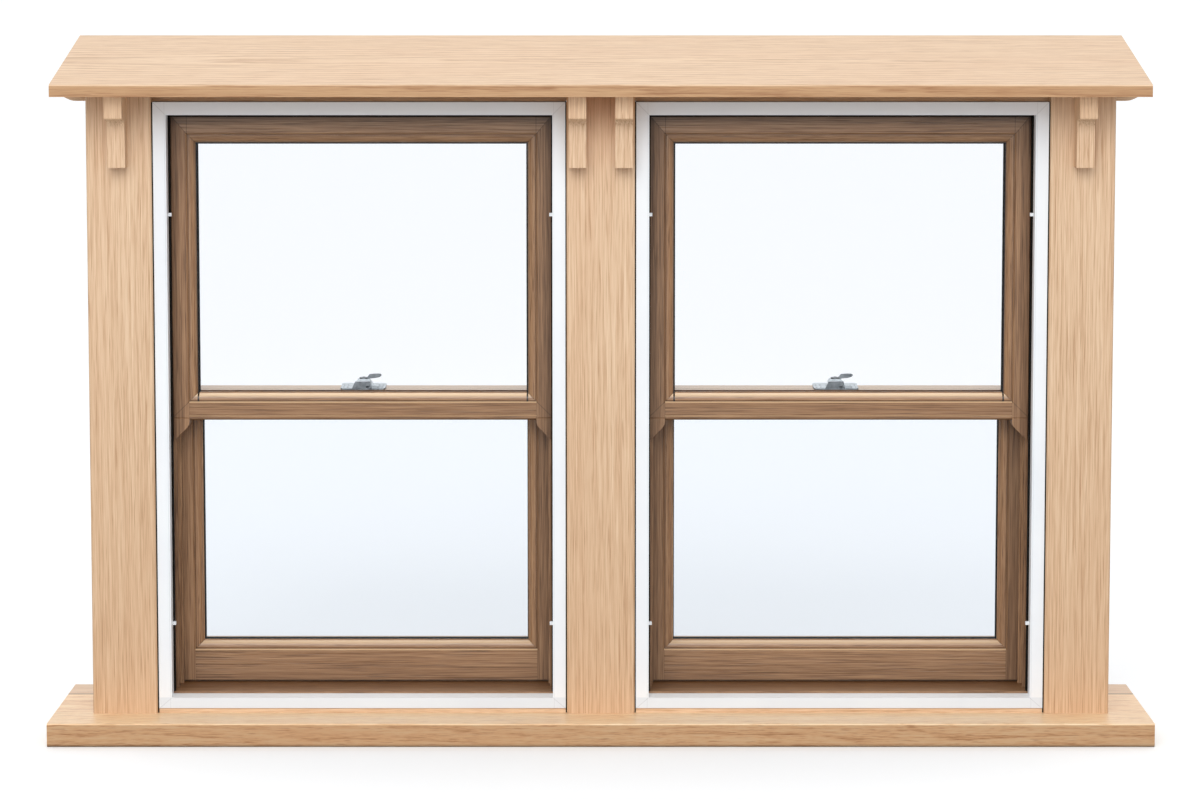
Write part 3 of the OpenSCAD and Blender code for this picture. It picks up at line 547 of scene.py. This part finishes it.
def paint_surround():
    cap_edge = edge_faces(srgb(215, 196, 173))
    # sawn-edge tone on front and back faces; on the base it also takes the painted light off its
    # front
    base_edge = edge_faces(srgb(207, 190, 175))
    board_joint = joint(behind(BOARD_JOINT_Y), 0.005, 0.06)
    # painted shade: the base board darkens in its lowest 6 mm, by the floor
    base_foot_shade = painted_shade(above(0.0), 0.006, 0.5)
    # painted shade: the posts darken towards the floor
    painted_low_shade = painted_shade(above(0.05), 0.8, 0.91, 0.045)
    # painted shadow of the cap, warm, on the top of the centre post
    painted_cap_shadow = painted_shade(below(1.0), 0.1, 0.92, 0.17)
    finish("cap_board", timber("cap_oak", PALE, Grain(
        X, 3.1, (0.02, -1.08), 0.035, 0.012, 0.5, 0.8, rough=0.5), [cap_edge]))
    # painted light: the base board takes the lighter tones, which show most on its top
    finish("base_board", timber("base_oak", LIT_PALE, Grain(
        X, 5.7, (-0.02, -0.12), 0.03, 0.01, 0.42, 1.15, 1.8), [base_edge, board_joint, base_foot_shade]))
    finish("inner_board", timber("inner_oak", PALE, Grain(
        X, 8.2, (0.1, -0.12), 0.02, 0.009, 0.32), [board_joint]))
    for post, seed, heart, tilt, shade in (("left", 1.3, (0.9, 0.35), 0.01, [painted_low_shade]),
                                           ("centre", 2.9, (0.25, 0.3), 0.012, [painted_low_shade, painted_cap_shadow]),
                                           ("right", 4.4, (-0.95, 0.4), -0.01, [painted_low_shade])):
        finish(f"{post}_post", timber(f"{post}_post_oak", PALE, Grain(
            Z, seed, heart, tilt, figure=0.16, fine=0.85, run=0.6), shade))
    finish("head_beam", timber("beam_oak", PALE, Grain(X, 6.6, (0.3, -0.8), 0.01, 0.008)))
    # painted light on the brackets towards the cap
    finish("brackets", timber("bracket_oak", PALE, Grain(Z, 7.5, (0.3, 0.25), 0.02), [painted_nose_light]))
    finish("bedding_strips", timber("bedding_oak", PALE, Grain(X, 9.3, (0.3, -0.2))))


# painted shade of trim and jambs: how far each sash's left and right stile are darkened
STILE_SHADE = {("left", "upper"): (1.0, 0.83), ("left", "lower"): (0.96, 0.76),
               ("right", "upper"): (0.78, 0.95), ("right", "lower"): (0.8, 0.68)}


def paint_sash(name, sash, seed):
    """Stain on the stiles, rails and beads of one sash, with painted shade towards its frame."""
    # painted shade: darker at the sash's outer edges, under the head and at the lower sash's foot
    side = painted_shade(from_side(SASH_EDGE), 0.02, 0.62)
    top = painted_shade(below(TOP_RAIL_Z), 0.022, 0.52)
    foot = painted_shade(above(LOWER_SASH_Z), 0.05, 0.8)
    drip_edge = painted_shade(above(MEETING_UNDER_Z), 0.004, 0.6)
    rail_end = joint(from_side(FLAT_EDGE))
    mitre = joint(slanted(SASH_EDGE, TOP_RAIL_Z, FLAT_EDGE, TOP_RAIL_IN_Z))
    low_mitre = joint(slanted(SASH_EDGE, MEETING_JOINT_Z, FLAT_EDGE, MEETING_IN_Z))
    # painted shade: the upper meeting rail is darkened all over and along its lower edge
    rails = {"upper": {"upper_top_rail": [top, rail_end, mitre],
                       "upper_meeting_rail": [stain_and_shade(0.88), rail_end, drip_edge]},
             "lower": {"lower_meeting_rail": [rail_end],
                       "lower_bottom_rail": [foot, rail_end]}}[sash]
    for place, depth in zip(("left", "right"), STILE_SHADE[name, sash]):
        seed += 1.3
        shade = [side, top, mitre, low_mitre] if sash == "upper" else [side]
        finish(f"{name}_{sash}_{place}_stile",
               timber(f"{name}_{sash}_{place}_stile_stain", BROWN,
                      Grain(Z, seed, figure=0.14, run=0.6), [stain_and_shade(depth)] + shade))
    # painted light and sheen on the upward faces of the rails and beads
    rail_top_light = painted_top_light(srgb(218, 184, 145))
    bead_top_light = painted_top_light(srgb(250, 220, 184) if sash == "upper" else srgb(224, 193, 158))
    for rail, shade in rails.items():
        seed += 1.9
        finish(f"{name}_{rail}", timber(f"{name}_{rail}_stain", BROWN, Grain(
            X, seed, (0.3, -0.75), 0.012, figure=0.14, run=0.6, rough=0.3), shade + [rail_top_light]))
    finish(f"{name}_{sash}_beads", timber(f"{name}_{sash}_bead_stain", BROWN, Grain(
        X, seed + 1.1, (0.3, -0.5), 0.012, 0.006, 0.15, 0.7, rough=0.26),
        [bead_top_light, bead_lines(sash)], sash))


def paint_windows():
    rubber = black_rubber("spacer_black")
    zinc = metal("zinc_rod", (0.62, 0.63, 0.64), (0.45, 0.46, 0.47), 0.3)
    # painted shade: the lock's faces that don't look up are darkened to 0.42
    lock = metal("lock_metal", srgb(205, 212, 215), srgb(165, 173, 178), 0.2, 0.42)
    # the lower glass tints more, most at its bottom: painted shade over the glass's faint tint
    glass = {"upper": clear_glass("upper_glass_clear", (0.5, (0.991, 0.993, 0.998)),
                                  (0.9, (0.993, 0.995, 0.999))),
             "lower": clear_glass("lower_glass_clear", (0.1, (0.968, 0.978, 0.989)),
                                  (0.52, (0.978, 0.985, 0.995)))}
    seed = 11.0
    for name in WINDOWS:
        for place in ("left", "right"):
            seed += 1.7
            # painted shade: the jambs darken below about 0.5 m, behind the lower sash
            finish(f"{name}_{place}_jamb", timber(f"{name}_{place}_jamb_stain", BROWN,
                                                  Grain(Z, seed), [painted_shade(above(0.4), 0.12, 0.7)]))
        for sash in ("upper", "lower"):
            seed += 7.0
            paint_sash(name, sash, seed)
            finish(f"{name}_{sash}_glass", glass[sash])
            finish(f"{name}_{sash}_spacer", rubber)
            finish(f"{name}_{sash}_rods", zinc)
        for node in ("keeper", "lift", "lock_base", "lock_lever"):
            finish(f"{name}_{node}", lock)
    finish("balance_tubes", zinc)


def paint_frames():
    # painted shade: the frame heads are darkest at their front, fading over 90 mm back
    head_recess_shade = painted_shade(behind(FRAME_FACE_Y), 0.09, 0.8)
    finish("frame_heads", timber("frame_head_stain", BROWN, Grain(X, 51.0), [head_recess_shade]))
    finish("frame_sills", timber("frame_sill_stain", BROWN, Grain(X, 52.0), [painted_sill_shade]))
    finish("frame_beads", timber("frame_bead_stain", BROWN, Grain(Z, 53.0)))
    top_mitre = joint(slanted(TRIM_OUTER, TRIM_TOP_Z, TRIM_INNER, TRIM_TOP_IN_Z), 0.0006, 0.75)
    low_mitre = joint(slanted(TRIM_OUTER, TRIM_FOOT_Z, TRIM_INNER, TRIM_FOOT_IN_Z), 0.0006, 0.75)
    # painted shade along the step round the trim's inner edge
    lip = joint(from_side(TRIM_LIP), 0.0006, 0.85)
    # painted shade: the trim's foot is darkened and cooled below its inner upper edge
    foot = painted_shade(above(TRIM_FOOT_IN_Z), 0.001, 0.87, -0.03)
    # painted light on the trim's upward faces
    trim_top_light = painted_top_light((0.97, 0.97, 0.97))
    finish("trim_frames", white_paint("trim_white", [top_mitre, low_mitre, lip, foot, trim_top_light]))
    finish("trim_clips", white_paint("clip_white"))
    finish("weather_strips", black_rubber("seal_black"))


# ---- Small fixings that the CAD leaves out ----

def disc_mesh(name, places, radius, height):
    """One mesh of flat round heads; places are the middles of their lower faces."""
    points, faces, sides = [], [], 20
    for x, y, z in places:
        start = len(points)
        for level in (0, height):
            points += [(x + radius * math.cos(i * math.tau / sides),
                        y + radius * math.sin(i * math.tau / sides), z + level)
                       for i in range(sides)]
        low, high = range(start, start + sides), range(start + sides, start + 2 * sides)
        faces += [tuple(reversed(low)), tuple(high)]
        faces += [(low[i], low[(i + 1) % sides], high[(i + 1) % sides], high[i])
                  for i in range(sides)]
    mesh = bpy.data.meshes.new(name)
    mesh.from_pydata(points, [], faces)
    return mesh


LOCK_SHIFT = -0.002                 # sideways place of a lock from its bay's middle
LOCK_Y, KEEPER_Y = 0.0625, 0.0375   # middle lines of the two plates
SCREW_OUT = (0.024, 0.0305)         # screws sideways from the spindle, on either side
SCREW_R, SCREW_FOOT_Z = 0.0015, 0.533
LOCK_SCREW_Z, KEEPER_SCREW_Z = 0.5358, 0.535
RIVET_R, RIVET_H, RIVET_Z = 0.0024, 0.0006, 0.5487


def add_fixings():
    """Screw heads sunk in the holes of the lock and keeper plates, and the spindle's rivet."""
    dark = metal("screw_steel", (0.16, 0.17, 0.18), (0.05, 0.05, 0.06), 0.35)
    for name, side in zip(WINDOWS, (-1, 1)):
        x = side * BAY_X + LOCK_SHIFT
        for part, y, top, body in (("lock", LOCK_Y, LOCK_SCREW_Z, f"{name}_lower_sash"),
                                   ("keeper", KEEPER_Y, KEEPER_SCREW_Z, f"{name}_upper_sash")):
            places = [(x + end * out, y, SCREW_FOOT_Z) for end in (-1, 1) for out in SCREW_OUT]
            mesh = disc_mesh(f"{name}_{part}_screws", places, SCREW_R, top - SCREW_FOOT_Z)
            add_piece(mesh, dark, body)
        rivet = disc_mesh(f"{name}_rivet", [(x, LOCK_Y, RIVET_Z)], RIVET_R, RIVET_H)
        add_piece(rivet, dark, f"{name}_lock")


def add_piece(mesh, material, body):
    """Adds a mesh that moves with a body of the part."""
    piece = bpy.data.objects.new(mesh.name, mesh)
    bpy.context.scene.collection.objects.link(piece)
    mesh.materials.append(material)
    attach(piece, body)


add_camera()
add_surroundings()
paint_surround()
paint_windows()
paint_frames()
add_fixings()
